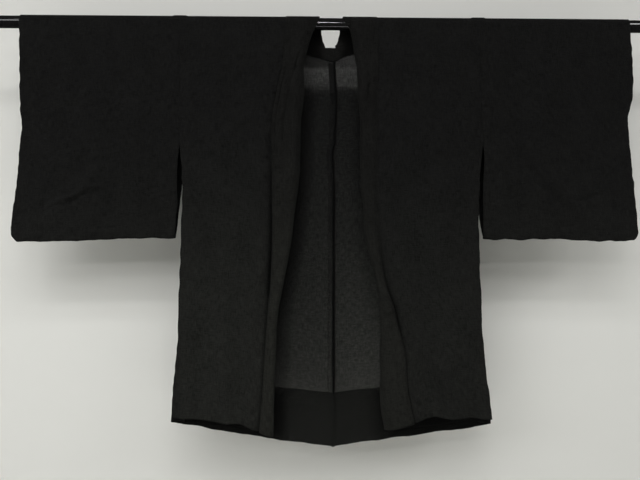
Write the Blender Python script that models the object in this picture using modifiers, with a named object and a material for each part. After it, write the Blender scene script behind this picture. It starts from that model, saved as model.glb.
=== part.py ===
"""Haori jacket in thin black crepe, hung through both sleeves on a round rod.

Axes: +X to the right of someone facing the open fronts, +Y away from them, +Z up. The origin is on the
rod's axis at the jacket's centre line. Left and right are the sides as that person sees them.
A table gives sizes in millimetres: "drop" is the depth below the rod's axis, "out" the distance from the
centre line, and "depth" the place along Y.
"""

import math

import bpy
import numpy as np

MM = 0.001

# Driving sizes, in metres.
ROD_RADIUS = 0.0125
ROD_HALF_LENGTH = 0.720
CLOTH_WALL = 0.0014
COLLAR_WALL = 0.0028
SEAM_GAP = 0.0003
REST_GAP = 0.0005
ARMHOLE_DROP = 0.255
CUFF_DROP = {"left": 0.232, "right": 0.206}
CUFF_SEAM_HALF_DEPTH = 0.0028
SLEEVE_FOLD_HALF_DEPTH = 0.0050
HEM_FACING_HEIGHT = 0.114
GUSSET_INSET = 0.0016
GUSSET_CLEAR = 0.0016
GUSSET_LEAST_FOLD = 0.004

SIDES = {"left": -1.0, "right": 1.0}

# How each surface is cut: steps along it, and the share of a panel's width at each of its columns.
ARC_STEPS = 10
FRONT_STEPS = 20
FRONT_CROWDING = 1.2
BACK_STEPS = 16
PANEL_ACROSS = np.array([0, 0.042, 0.10, 0.20, 0.30, 0.40, 0.50, 0.60, 0.70, 0.80, 0.90, 0.975, 1])
SLEEVE_STEPS = 12
SLEEVE_COLUMNS = 10
COLLAR_COLUMNS = (5, 5, 3)
GUSSET_COLUMNS = 6
FINE = 8


def table(columns, *rows):
    """Columns by name, in metres, from rows of millimetres."""
    return dict(zip(columns.split(), np.array(rows, float).T * MM))


# How far the hanging layers stand off the rod's axis plane.
BODY_DEPTH = table(
    "drop front back",
    (0, 14.4, 14.4), (60, 15.0, 17.6), (255, 17.0, 18.0), (460, 20.0, 19.5), (650, 22.5, 21.0),
    (910, 24.0, 23.0))
SLEEVE_DEPTH = table(
    "drop front back",
    (0, 14.4, 14.4), (60, 15.0, 17.6), (255, 17.0, 18.0), (360, 13.5, 13.0), (430, 7.5, 7.5),
    (456, 5.0, 5.0))

# The armhole seams run straight down from the shoulder; below them the panels' side edges hang free.
ARMHOLE = {"left": (0.322, 0.319), "right": (0.309, 0.3166)}

# Front panels: the seam under the collar, the side edge, and the hem from the seam across to the side.
FRONT_SEAM = {
    "left": table(
        "drop seam",
        (0, 99), (80, 103), (145, 116), (210, 126), (290, 127), (460, 127), (520, 129), (600, 133),
        (700, 139), (780, 143.5), (862, 150)),
    "right": table(
        "drop seam",
        (0, 95.5), (350, 95.7), (450, 100.5), (510, 109), (560, 118), (600, 133), (640, 142),
        (690, 153.5), (780, 161), (845, 175)),
}
FRONT_SIDE = {
    "left": table(
        "drop side", (255, 319), (350, 314.5), (460, 315), (600, 318), (700, 322), (780, 327), (862, 335)),
    "right": table(
        "drop side",
        (255, 316.6), (350, 309), (450, 308.4), (560, 312), (690, 318.5), (780, 330), (845, 337)),
}
FRONT_HEM = {
    "left": table("across drop", (0, 861), (110, 852), (220, 844), (400, 840), (1000, 829)),
    "right": table("across drop", (0, 843), (100, 834), (200, 828), (400, 830), (1000, 832)),
}

# Back panels: the side edge, and the hem that falls lower towards the centre seam.
BACK_SIDE = {
    "left": table("drop side", (255, 319), (350, 317), (600, 325), (780, 340), (905, 350)),
    "right": table("drop side", (255, 316.6), (350, 314), (600, 325), (780, 341), (905, 353)),
}
BACK_HEM = table("across drop", (0, 904), (160, 896), (450, 882), (800, 861), (1000, 850))
CENTRE_SEAM = table("drop place", (70, 4), (280, 4.5), (600, 7.5), (910, 6))

# The collar behind one half of the neck: its seam, the edge it is folded over at (or the free edge where it
# is still flat), and how far it turns over, in thousandths of half a turn.
NECK = {
    "left": table(
        "seam_out seam_drop edge_out edge_drop edge_depth turn",
        (94, 17, 24, 16, 16.0, 0), (88, 33, 22, 29, 16.5, 250), (75, 45, 19.5, 38, 16, 650),
        (55, 55, 17.5, 44.5, 14.5, 950), (28, 64, 12, 45.5, 13.5, 1000), (0, 71.5, 4, 45.5, 13.2, 1000)),
    "right": table(
        "seam_out seam_drop edge_out edge_drop edge_depth turn",
        (90, 17, 19.5, 16, 16.0, 0), (84, 33, 16.5, 29, 16.5, 250), (72, 45, 12.5, 38, 16, 650),
        (52, 57, 9, 44.5, 14.5, 950), (27, 65.5, 3.5, 45.5, 13.5, 1000), (0, 71.5, -4, 45.5, 13.2, 1000)),
}
NECK_STEPS = 10

# The collar down each front: the width that lies open (small pleats by the seam take up the rest), how far
# from the seam it begins to turn in behind, and how far it turns, in thousandths of half a turn.
COLLAR = {
    "left": table(
        "drop width bend turn",
        (0, 70, 44, 0), (22, 64, 38, 200), (64, 54, 28, 300), (85, 50, 24.5, 330), (147, 62, 36, 330),
        (200, 66, 39, 350), (290, 68, 41, 400), (355, 70, 40, 500), (400, 70, 38.5, 650),
        (450, 70, 36.2, 850),
        (490, 70, 32.6, 950), (521, 70, 28.5, 1000), (563, 70, 20.5, 1000), (610, 70, 15, 1000),
        (667, 70, 15, 1000), (760, 70, 16.5, 1000), (868, 70, 21.7, 900)),
    "right": table(
        "drop width bend turn",
        (0, 70, 44, 0), (22, 62, 36, 150), (74, 62, 33.4, 550), (136, 67, 31.6, 800), (210, 70, 27.3, 970),
        (355, 70, 26.3, 970), (375, 70, 23.3, 970), (417, 70, 22.8, 970), (460, 70, 21.3, 970),
        (500, 70, 18.3, 970), (535, 70, 11.3, 970), (565, 70, 13.6, 950), (604, 70, 24.2, 850),
        (645, 70, 28.6, 720), (690, 70, 36.6, 580), (760, 70, 39, 480), (857, 70, 40, 300)),
}
COLLAR_ROLL = 0.0075
NECK_ROLL = 0.0042
NECK_SEAM_EASE = 0.0003
NECK_MOST_BEND = 0.054
COLLAR_RISE = 0.09
COLLAR_WIDTH = 0.070
COLLAR_HEM_FALL = {"left": 0.34, "right": 0.24}

# Sleeves: the free inner edge below the armhole, the outer edge with its cuff above and its sewn length
# below, and the bottom from the inner end across to the outer.
SLEEVE_INNER = {
    "left": table(
        "drop front back",
        (255, 319, 319), (316, 323, 320), (358, 324.5, 322), (441, 324.8, 330), (464, 325, 332)),
    "right": table(
        "drop front back",
        (255, 316.6, 316.6), (330, 318.6, 317.5), (372, 319.5, 318.5), (414, 321.5, 322), (458, 323, 331)),
}
SLEEVE_OUTER = {
    "left": table(
        "drop outer",
        (0, 656), (84, 656.5), (167, 657.5), (198, 656.5), (229, 655), (252, 658.5), (314, 663),
        (356, 667), (398, 673), (436, 677), (454, 675), (467, 665)),
    "right": table(
        "drop outer",
        (0, 627.5), (54, 633), (100, 637), (137, 639), (158, 638), (181, 632.5), (211, 631.3), (243, 633.6),
        (286, 638), (328, 642.5), (371, 647), (414, 651.5), (434, 653.5), (449, 651.5), (460, 643)),
}
SLEEVE_BOTTOM = {
    "left": table("across drop", (0, 456), (400, 457), (1000, 462)),
    "right": table("across drop", (0, 453), (500, 456), (1000, 455)),
}

# Gussets: their width between the front and back side edges.
GUSSET = table("drop width", (255, 33), (400, 40), (600, 52), (860, 68))

# The largest folds: a ridge towards the viewer (a trough if negative) that runs from a top to an end.
FOLDS = {
    "front_left": table(
        "top_drop top_out end_drop end_out width height",
        (90, 140, 600, 158, 16, 5), (560, 232, 860, 214, 14, 6), (640, 272, 860, 284, 16, -5)),
    "front_right": table(
        "top_drop top_out end_drop end_out width height",
        (40, 120, 520, 128, 15, 4), (520, 150, 700, 190, 16, 6), (690, 216, 860, 262, 13, 7),
        (730, 256, 860, 300, 13, -5)),
    "sleeve_left": table(
        "top_drop top_out end_drop end_out width height",
        (300, 470, 420, 600, 16, 5), (30, 345, 240, 338, 14, 3)),
    "sleeve_right": table(
        "top_drop top_out end_drop end_out width height",
        (10, 330, 430, 345, 13, 7), (250, 390, 400, 530, 16, 5), (290, 620, 400, 560, 16, 5)),
    "back_left": table(
        "top_drop top_out end_drop end_out width height",
        (60, 130, 880, 150, 22, -4), (300, 240, 880, 256, 20, 4)),
    "back_right": table(
        "top_drop top_out end_drop end_out width height",
        (60, 120, 880, 142, 22, -4), (260, 230, 880, 262, 20, 4)),
}


def smooth(x):
    """0 below 0, 1 above 1, and an even rise between them."""
    x = np.clip(x, 0.0, 1.0)
    return x * x * (3.0 - 2.0 * x)


def along(rows, column, place, key="drop"):
    """A smooth curve through one column of a table, read at each place: a cubic between rows, whose slope at
    a row is the mean of the slopes beside it."""
    at, value = rows[key], rows[column]
    step = np.diff(value) / np.diff(at)
    slope = np.concatenate([step[:1], (step[1:] + step[:-1]) / 2, step[-1:]])
    place = np.clip(place, at[0], at[-1])
    i = np.clip(np.searchsorted(at, place, side="right") - 1, 0, len(at) - 2)
    length = at[i + 1] - at[i]
    t = (place - at[i]) / length
    return (value[i] * (1 + 2 * t) * (1 - t) ** 2 + value[i + 1] * t * t * (3 - 2 * t)
            + length * slope[i] * t * (1 - t) ** 2 - length * slope[i + 1] * t * t * (1 - t))


def relief(name, drop, out):
    """The height of the folds at a place: each is a bell across its line, fading at both of its ends."""
    height = np.zeros(np.broadcast(drop, out).shape)
    rows = FOLDS[name]
    for top, top_out, end, end_out, width, tall in zip(*(rows[key] for key in rows)):
        run = np.clip((drop - top) / (end - top), 0, 1)
        line = top_out + (end_out - top_out) * run
        fade = smooth((drop - top) / 0.06) * smooth((end + 0.06 - drop) / 0.06)
        height += tall * fade * np.exp(-(((out - line) / width) ** 2))
    return height


def cloth_radius(wall):
    """The middle of a layer of cloth that lies over the rod."""
    return ROD_RADIUS + REST_GAP + wall / 2


def over_rod(wall):
    """Depth and drop of the layer's middle from the rod's front over its top to its back, ends left out."""
    angle = np.linspace(math.pi, 0, ARC_STEPS + 1)[1:-1]
    return cloth_radius(wall) * np.cos(angle), -cloth_radius(wall) * np.sin(angle)


def across_hem(rows, across):
    """The drop of a lower edge at each share of its width."""
    return np.interp(across, rows["across"], rows["drop"])


def side_edge(rows, column, side, drop):
    """An edge that follows the armhole seam, and its own table below it."""
    top, end = ARMHOLE[side]
    armhole = top + (end - top) * drop / ARMHOLE_DROP
    return np.where(drop < ARMHOLE_DROP, armhole, along(rows[side], column, drop))


def front_levels():
    """The share of the way down at each row of a front, from the hem up, closer near the shoulder."""
    return np.linspace(1, 0, FRONT_STEPS + 1) ** FRONT_CROWDING


def front_grid(side):
    """A front panel from its hem (first row) up to the rod: arrays of out, depth and drop."""
    across = PANEL_ACROSS[None, :]
    drop = front_levels()[:, None] * across_hem(FRONT_HEM[side], across)
    inner = along(FRONT_SEAM[side], "seam", drop[:, :1]) + SEAM_GAP / 2
    outer = side_edge(FRONT_SIDE, "side", side, drop[:, -1:]) - SEAM_GAP / 2
    out = inner + (outer - inner) * across
    depth = -along(BODY_DEPTH, "front", drop) - relief("front_" + side, drop, out) * smooth(drop / 0.08)
    return out, depth, drop


def centre_place(drop):
    return along(CENTRE_SEAM, "place", drop)


def neck_rows(side):
    """The neck table at even steps from the shoulder to the centre seam, where its seam drifts with it."""
    rows = dict(NECK[side], row=np.linspace(0, 1, len(NECK[side]["turn"])))
    rows = {key: along(rows, key, np.linspace(0, 1, NECK_STEPS + 1), key="row") for key in NECK[side]}
    near = np.clip(1 - rows["seam_out"] / 0.09, 0, 1)
    drift = SIDES[side] * centre_place(rows["seam_drop"]) * near
    return dict(rows, seam_out=rows["seam_out"] + drift)


def back_grid(side):
    """A back panel from just under the rod (first row) to its hem: arrays of out, depth and drop."""
    across = PANEL_ACROSS[None, :]
    hem = across_hem(BACK_HEM, across)
    neck = neck_rows(side)
    first = neck["seam_drop"][-1] + SEAM_GAP
    below = first + (hem[0, 0] - first) * np.linspace(0, 1, BACK_STEPS + 1)
    below[facing_row()] = hem[0, 0] - HEM_FACING_HEIGHT
    inner_drop = np.concatenate([neck["seam_drop"][:-1] + SEAM_GAP, below])[:, None]
    inner = np.concatenate([
        neck["seam_out"][:-1] + SEAM_GAP, SIDES[side] * centre_place(below) + SEAM_GAP / 2])[:, None]
    drop = inner_drop / hem[0, 0] * hem
    outer = side_edge(BACK_SIDE, "side", side, drop[:, -1:]) - SEAM_GAP / 2
    out = inner + (outer - inner) * across
    depth = along(BODY_DEPTH, "back", drop) - relief("back_" + side, drop, out)
    return out, depth, drop


def facing_row():
    """The row below the neck where the turned-up hem begins."""
    return BACK_STEPS - 2


def moved(points, distance):
    """A grid moved along its own normals."""
    down, sideways = np.gradient(points, axis=0), np.gradient(points, axis=1)
    normal = np.cross(down, sideways)
    return points + distance * normal / np.linalg.norm(normal, axis=-1, keepdims=True)


def place(side, out, depth, drop):
    """Points in space from distances on one side of the jacket."""
    out, depth, drop = np.broadcast_arrays(out, depth, drop)
    return np.stack([SIDES[side] * out, depth, -drop], axis=-1)


def body_panel(side):
    """One length of cloth: up the front, over the rod and down the back."""
    front, back = front_grid(side), back_grid(side)
    depth, drop = over_rod(CLOTH_WALL)
    share = np.linspace(0, 1, ARC_STEPS + 1)[1:-1, None]
    arc_out = front[0][-1] + (back[0][0] - front[0][-1]) * share
    return np.concatenate([
        place(side, *front), place(side, arc_out, depth[:, None], drop[:, None]), place(side, *back)])


def sleeve(side):
    """A tube round the rod, sewn shut below the cuff. Its loop starts at the rod's front and runs down the
    front layer, round the bottom fold, up the back layer and over the rod. The pairs of rows sewn together
    come with it."""
    across = np.linspace(0, 1, SLEEVE_COLUMNS + 1)[None, :]
    bottom = across_hem(SLEEVE_BOTTOM[side], across)
    level = np.linspace(0, 1, SLEEVE_STEPS + 1)[:, None] ** 0.9
    drop = level * (bottom - SLEEVE_FOLD_HALF_DEPTH)
    front_inner = side_edge(SLEEVE_INNER, "front", side, drop[:, :1]) + SEAM_GAP
    back_inner = side_edge(SLEEVE_INNER, "back", side, drop[:, :1]) + SEAM_GAP
    outer = along(SLEEVE_OUTER[side], "outer", drop[:, -1:])
    out = front_inner + (outer - front_inner) * across
    back_out = back_inner + (outer - back_inner) * across
    pinch = smooth((across - 0.62) / 0.38) * np.clip(drop / CUFF_DROP[side], 0, 1)
    folds = relief("sleeve_" + side, drop, out) * smooth(drop / 0.08) * (1 - pinch)
    front = along(SLEEVE_DEPTH, "front", drop)
    back = along(SLEEVE_DEPTH, "back", drop)
    front = front + (CUFF_SEAM_HALF_DEPTH - front) * pinch
    back = back + (CUFF_SEAM_HALF_DEPTH - back) * pinch
    top_depth, top_drop = over_rod(CLOTH_WALL)
    turn = np.linspace(0, math.pi, 7)[1:-1, None]
    low = drop[-1:] + front[-1:] * np.sin(turn)
    low_outer = along(SLEEVE_OUTER[side], "outer", low[:, -1:])
    low_inner = front_inner[-1:] + (back_inner[-1:] - front_inner[-1:]) * turn / math.pi
    low_out = low_inner + (low_outer - low_inner) * across
    points = np.concatenate([
        place(side, out, -front - folds, drop),
        place(side, low_out, -front[-1:] * np.cos(turn), low),
        place(side, back_out, back - 0.4 * folds, drop)[::-1],
        place(side, out[:1], top_depth[::-1, None], top_drop[::-1, None])])
    first_sewn = int(np.argmax(drop[:, -1] >= CUFF_DROP[side] - 0.002))
    last = 2 * SLEEVE_STEPS + 1 + len(turn)
    return points, [(row, last - row) for row in range(first_sewn, (last + 1) // 2)]


def collar_band(seam, towards, turned_to, rows, roll):
    """The collar across its width at each row. From the seam it runs straight, bends over an arc as long as
    half a turn round the roll, and runs straight again to its free edge. The heading at each of many short
    steps gives the curve, and the columns stand at even shares of the straight, the arc and the tail."""
    width, bend, turn = (rows[key][:, None] for key in ("width", "bend", "turn"))
    arc = math.pi * roll
    spans = zip((0 * width, bend, bend + arc), (bend, bend + arc, width), COLLAR_COLUMNS)
    stops = [start + (end - start) * np.arange(count * FINE) / (count * FINE) for start, end, count in spans]
    stops = np.concatenate([*stops, width], axis=1)
    heading = np.clip(((stops[:, 1:] + stops[:, :-1]) / 2 - bend) / arc, 0, 1) * turn * math.pi
    step = np.diff(stops, axis=1)
    ahead = np.cumsum(np.cos(heading) * step, axis=1)[:, FINE - 1::FINE]
    aside = np.cumsum(np.sin(heading) * step, axis=1)[:, FINE - 1::FINE]
    ahead, aside = (np.concatenate([0 * width, part], axis=1)[..., None] for part in (ahead, aside))
    return seam[:, None] + ahead * towards[:, None] + aside * turned_to[:, None]


def unit(vectors):
    return vectors / np.linalg.norm(vectors, axis=-1, keepdims=True)


def collar_front(side):
    """The band up one front, from the hem to the rod, beside the panel's own rows."""
    drop = front_levels() * FRONT_HEM[side]["drop"][0]
    thicker = cloth_radius(COLLAR_WALL) - cloth_radius(CLOTH_WALL)
    depth = -along(BODY_DEPTH, "front", drop) - thicker * (1 - smooth(drop / 0.06))
    rise = COLLAR_RISE * smooth(drop / 0.12)
    fall = COLLAR_HEM_FALL[side] * smooth((drop - 0.62) / 0.22)
    towards = unit(np.stack([-SIDES[side] + 0 * drop, -rise, -fall], axis=-1))
    turned_to = unit(np.stack([-SIDES[side] * rise, 1 + 0 * drop, 0 * drop], axis=-1))
    seam = place(side, along(FRONT_SEAM[side], "seam", drop) - SEAM_GAP, depth, drop) + SEAM_GAP * towards
    rows = {key: along(COLLAR[side], key, drop) for key in ("width", "bend", "turn")}
    return collar_band(seam, towards, turned_to, rows, COLLAR_ROLL)


def collar_neck(side):
    """The band behind one half of the neck, folded over outwards: its free half hangs behind the back."""
    rows = neck_rows(side)
    seam = place(side, rows["seam_out"], along(BODY_DEPTH, "back", rows["seam_drop"]), rows["seam_drop"])
    edge = place(side, rows["edge_out"], rows["edge_depth"], rows["edge_drop"])
    towards = unit(edge - seam)
    backwards = np.array([0.0, 1.0, 0.0])
    turned_to = unit(backwards - towards * (towards @ backwards)[:, None])
    seam = seam + NECK_SEAM_EASE * towards
    lengths = {
        "width": np.full(len(seam), COLLAR_WIDTH), "turn": rows["turn"],
        "bend": np.minimum(
            np.linalg.norm(edge - seam, axis=1) - NECK_ROLL / np.maximum(rows["turn"], 0.5), NECK_MOST_BEND)}
    return collar_band(seam, towards, turned_to, lengths, NECK_ROLL)


def collar_shoulder(front, back):
    """The band over the rod, flat on it, from the last row in front to the first row behind."""
    depth, drop = over_rod(COLLAR_WALL)
    share = np.linspace(0, 1, ARC_STEPS + 1)[1:-1, None]
    out = front[-1, :, 0] + (back[0, :, 0] - front[-1, :, 0]) * share
    return np.stack(np.broadcast_arrays(out, depth[:, None], -drop[:, None]), axis=-1)


def collar():
    """One long band: up the left front, round the neck and down the right front."""
    halves = []
    for side in SIDES:
        front, back = collar_front(side), collar_neck(side)
        halves.append(np.concatenate([front, collar_shoulder(front, back), back]))
    return np.concatenate([halves[0], halves[1][-2::-1]])


def gusset(side):
    """The strip let in between the front and back side edges, folded inwards in a soft V."""
    level = np.linspace(0, 1, FRONT_STEPS - 4)[:, None]
    across = np.linspace(0, 1, GUSSET_COLUMNS + 1)[None, :]
    top = ARMHOLE_DROP + 0.004
    end = FRONT_HEM[side]["drop"][-1] * (1 - across) + BACK_HEM["drop"][-1] * across
    drop = top + (end - top) * level
    front_out = along(FRONT_SIDE[side], "side", drop)
    back_out = along(BACK_SIDE[side], "side", drop)
    front_depth = GUSSET_CLEAR - along(BODY_DEPTH, "front", drop) - relief("front_" + side, drop, front_out)
    back_depth = along(BODY_DEPTH, "back", drop) - relief("back_" + side, drop, back_out) - GUSSET_CLEAR
    half_gap = (back_depth - front_depth) / 2
    half_width = along(GUSSET, "width", drop) / 2
    inward = np.sqrt(np.maximum(half_width ** 2 - half_gap ** 2, GUSSET_LEAST_FOLD ** 2))
    out = front_out + (back_out - front_out) * across - GUSSET_INSET - inward * 4 * across * (1 - across)
    return place(side, out, front_depth + 2 * half_gap * across, drop)


def hem_facing(side):
    """The back's turned-up hem: the back panel's own points, moved inwards."""
    rows = slice(NECK_STEPS + facing_row(), None)
    return inside_back(side, rows, slice(0, len(PANEL_ACROSS) - 1))


def centre_seam_allowance():
    """The narrow turned-back edge along the centre seam: the left back's first columns, moved inwards."""
    strip = inside_back("left", slice(NECK_STEPS, NECK_STEPS + facing_row() + 1), slice(0, 2))
    strip[-1] += 0.02 * (strip[-2] - strip[-1])
    strip[0] += 0.1 * (strip[1] - strip[0])
    return strip


def inside_back(side, rows, columns):
    points = place(side, *back_grid(side))[rows, columns]
    return moved(points, SIDES[side] * (CLOTH_WALL + 1.5 * SEAM_GAP))


def material(name, colour, roughness, metallic=0.0, sheen=0.0):
    made = bpy.data.materials.new(name)
    made.use_nodes = True
    shader = made.node_tree.nodes["Principled BSDF"]
    shader.inputs["Base Color"].default_value = (*colour, 1)
    shader.inputs["Roughness"].default_value = roughness
    shader.inputs["Metallic"].default_value = metallic
    shader.inputs["Sheen Weight"].default_value = sheen
    return made


def keep(obj, finish, home):
    obj.data.materials.append(finish)
    for collection in list(obj.users_collection):
        collection.objects.unlink(obj)
    home.objects.link(obj)
    return obj


def cloth(name, points, wall, finish, home, closed=False, rungs=()):
    """An open surface over a grid of points, given its wall by Solidify. A closed grid joins its last row to
    its first, and rungs sew pairs of rows together along the last column."""
    rows, columns = points.shape[:2]
    index = np.arange(rows * columns).reshape(rows, columns)
    if closed:
        index = np.concatenate([index, index[:1]])
    faces = np.stack([index[:-1, :-1], index[:-1, 1:], index[1:, 1:], index[1:, :-1]], axis=-1)
    faces = faces.reshape(-1, 4).tolist()
    for (a, b), (c, d) in zip(rungs[:-1], rungs[1:]):
        faces.append([int(index[a, -1]), int(index[b, -1]), int(index[d, -1]), int(index[c, -1])])
    mesh = bpy.data.meshes.new(name)
    mesh.from_pydata(points.reshape(-1, 3).tolist(), [], faces)
    mesh.update()
    mesh.shade_smooth()
    obj = bpy.data.objects.new(name, mesh)
    bpy.context.scene.collection.objects.link(obj)
    solid = obj.modifiers.new("Wall", "SOLIDIFY")
    solid.thickness = wall
    solid.offset = 0
    return keep(obj, finish, home)


def rod(finish, home):
    bpy.ops.mesh.primitive_cylinder_add(
        vertices=40, radius=ROD_RADIUS, depth=2 * ROD_HALF_LENGTH, rotation=(0, math.pi / 2, 0))
    obj = bpy.context.active_object
    obj.name = obj.data.name = "rod"
    obj.data.shade_smooth()
    obj.data.set_sharp_from_angle(angle=math.radians(40))
    return keep(obj, finish, home)


def main():
    for obj in list(bpy.data.objects):
        bpy.data.objects.remove(obj, do_unlink=True)
    home = bpy.data.collections.new("haori_jacket")
    bpy.context.scene.collection.children.link(home)
    crepe = material("black crepe", (0.010, 0.010, 0.009), 0.85, sheen=0.2)
    band = material("black collar crepe", (0.009, 0.009, 0.008), 0.82, sheen=0.2)
    lacquer = material("black lacquered steel", (0.006, 0.006, 0.006), 0.18, metallic=0.1)

    rod(lacquer, home)
    for side in SIDES:
        cloth("body_panel_" + side, body_panel(side), CLOTH_WALL, crepe, home)
        points, rungs = sleeve(side)
        cloth("sleeve_" + side, points, CLOTH_WALL, crepe, home, closed=True, rungs=rungs)
        cloth("gusset_" + side, gusset(side), CLOTH_WALL, crepe, home)
        cloth("hem_facing_" + side, hem_facing(side), CLOTH_WALL, crepe, home)
    cloth("collar", collar(), COLLAR_WALL, band, home)
    cloth("centre_seam_allowance", centre_seam_allowance(), CLOTH_WALL, crepe, home)


main()
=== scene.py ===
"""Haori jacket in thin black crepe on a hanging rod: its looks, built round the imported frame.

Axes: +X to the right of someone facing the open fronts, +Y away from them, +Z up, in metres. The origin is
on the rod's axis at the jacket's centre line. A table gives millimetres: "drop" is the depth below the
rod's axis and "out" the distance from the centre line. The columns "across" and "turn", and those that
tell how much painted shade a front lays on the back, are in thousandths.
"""

import math

import bpy
import numpy as np
from mathutils import Matrix, Vector


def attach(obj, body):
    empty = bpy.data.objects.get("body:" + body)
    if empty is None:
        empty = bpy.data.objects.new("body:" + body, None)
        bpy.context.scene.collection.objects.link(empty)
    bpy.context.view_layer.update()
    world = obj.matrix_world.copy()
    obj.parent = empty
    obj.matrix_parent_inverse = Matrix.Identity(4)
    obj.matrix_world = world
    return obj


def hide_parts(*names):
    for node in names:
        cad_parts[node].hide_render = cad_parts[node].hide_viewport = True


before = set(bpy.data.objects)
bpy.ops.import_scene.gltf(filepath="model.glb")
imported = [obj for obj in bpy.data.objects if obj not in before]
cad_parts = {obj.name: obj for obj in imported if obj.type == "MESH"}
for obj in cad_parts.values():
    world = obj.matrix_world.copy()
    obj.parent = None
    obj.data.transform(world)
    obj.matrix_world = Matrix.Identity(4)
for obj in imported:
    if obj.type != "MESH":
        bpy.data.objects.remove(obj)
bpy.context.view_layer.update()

MM = 0.001

# The garment's sizes, in metres. Pieces lap by half a millimetre at a seam, so no light comes through it.
ROD_RADIUS = 0.0125
ROD_HALF_LENGTH = 0.72
ROD_EASE = 0.0008
ROD_SIDES = 128
CLOTH_WALL = 0.0012
COLLAR_WALL = 0.0024
SEAM_LAP = 0.0005
LAYER_GAP = 0.0003
REST_GAP = 0.0006
ARMHOLE_DROP = 0.255
CUFF_DROP = {"left": 0.232, "right": 0.206}
CUFF_SEAM_HALF_DEPTH = 0.0028
CUFF_TACK = 0.002  # the sewn edge starts this much above the cuff's end
SLEEVE_FOLD_HALF_DEPTH = 0.005
HEM_FACING_HEIGHT = 0.116
ALLOWANCE_WIDTH = 0.012
PANEL_WIDTH = 0.32
GUSSET_INSET = 0.0016
GUSSET_CLEAR = 0.0016
GUSSET_LEAST_FOLD = 0.004
GUSSET_TOP = 0.004  # it starts this much below the armhole
COLLAR_WIDTH = 0.07
COLLAR_ROLL = 0.0075
COLLAR_RISE = 0.09  # how steeply the band leans towards the viewer
COLLAR_HEM_FALL = {"left": 0.34, "right": 0.24}
NECK_ROLL = 0.0042
NECK_SEAM_EASE = 0.0003
NECK_MOST_BEND = 0.054
NECK_WIDTH = 0.056
FREE_DROP = 0.08  # the cloth hangs free of the rod from here down
EDGE_WAVER = 0.0009
SIDE_WAVER = 0.001
SLEEVE_BOTTOM_WAVER = 0.0011
LEAST_SLEEVE_HALF_DEPTH = 0.0016
THREAD_PITCH = 0.00062
BUMP_HEIGHT = 0.0014

SIDES = {"left": -1.0, "right": 1.0}

# Where each surface's own waver, rumples and puckers start from.
SEEDS = {
    "left": {"front": 10, "back": 30, "sleeve": 60, "collar": 80},
    "right": {"front": 20, "back": 40, "sleeve": 70, "collar": 90}}
GUSSET_SEED = 95

# How finely each surface is cut. Each collar column is a run of fine steps.
ARC_STEPS = 20
PANEL_ROWS = 215
PANEL_COLUMNS = 84
SLEEVE_ROWS = 150
SLEEVE_COLUMNS = 124
SLEEVE_FOLD_STEPS = 12
COLLAR_COLUMNS = (20, 14, 8)
COLLAR_CROWDING = (1.5, 1, 1)
NECK_ROWS = 48
GUSSET_ROWS = 120
GUSSET_COLUMNS = 14
FINE = 4


def table(columns, *rows):
    """Columns by name, in metres, from rows of millimetres."""
    return dict(zip(columns.split(), np.array(rows, float).T * MM))


def both_sides(columns, left, right):
    """A table for each side of the jacket."""
    return {"left": table(columns, *left), "right": table(columns, *right)}


BODY_DEPTH = table(
    "drop front back",
    (0, 14.4, 14.4), (60, 15, 17.6), (255, 17, 18), (460, 20, 19.5), (650, 22.5, 21),
    (910, 24, 23))
SLEEVE_DEPTH = table(
    "drop front back",
    (0, 14.4, 14.4), (60, 15, 17.6), (255, 17, 18), (360, 13.5, 13), (430, 7.5, 7.5),
    (456, 5, 5))
ARMHOLE = {"left": (0.322, 0.319), "right": (0.309, 0.3166)}
FRONT_SEAM = both_sides("drop seam", left=[
    (0, 99), (80, 103), (145, 116), (210, 126), (290, 127), (460, 127), (520, 129), (600, 133),
    (700, 139), (780, 143.5), (862, 150)
], right=[
    (0, 95.5), (350, 95.7), (450, 100.5), (510, 109), (560, 118), (600, 133), (640, 142), (690, 153.5),
    (780, 161), (845, 175)
])
FRONT_SEAM_SINK = both_sides("drop sink", left=[
    (0, 0), (90, 1.2), (180, 3), (300, 7), (350, 11), (400, 14), (480, 17), (568, 17), (592, 10),
    (640, 8), (860, 6.5)
], right=[
    (0, 0), (90, 1.5), (300, 2), (420, 3.5), (510, 7), (560, 11), (640, 14), (665, 9), (700, 6),
    (760, 5.5), (845, 4.5)
])
FRONT_SIDE = both_sides("drop side", left=[
    (255, 319), (280, 317), (300, 315.6), (320, 313.8), (364, 312), (390, 312), (427, 314.6),
    (470, 315.3), (600, 318), (700, 322), (780, 327), (862, 335)
], right=[
    (255, 316.6), (350, 309), (450, 308.4), (560, 312), (690, 318.5), (780, 330), (845, 337)
])
FRONT_HEM = both_sides("across drop", left=[
    (0, 861), (110, 852), (220, 844), (400, 840), (1000, 829)
], right=[
    (0, 843), (100, 834), (200, 828), (400, 830), (1000, 832)
])
BACK_SIDE = both_sides("drop side", left=[
    (255, 319), (350, 317), (600, 325), (780, 340), (905, 350)
], right=[
    (255, 316.6), (350, 314), (600, 325), (780, 341), (905, 353)
])
BACK_HEM = both_sides("across drop", left=[
    (0, 906), (160, 899.5), (450, 886.5), (800, 864.5), (1000, 854)
], right=[
    (0, 906), (160, 897.5), (450, 885), (700, 871.5), (780, 868.5), (870, 865), (930, 861.5), (1000, 857)
])
CENTRE_SEAM = table(
    "drop place",
    (75, 5), (105, 6.2), (125, 7.6), (165, 9.4), (205, 8.3), (232, 6.7), (250, 6.6), (262, 3.2),
    (276, 1.6), (292, 2.6), (320, 4), (345, 5.2), (372, 5.6), (440, 5), (500, 5.8), (632, 6),
    (762, 6.6), (910, 6))
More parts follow.
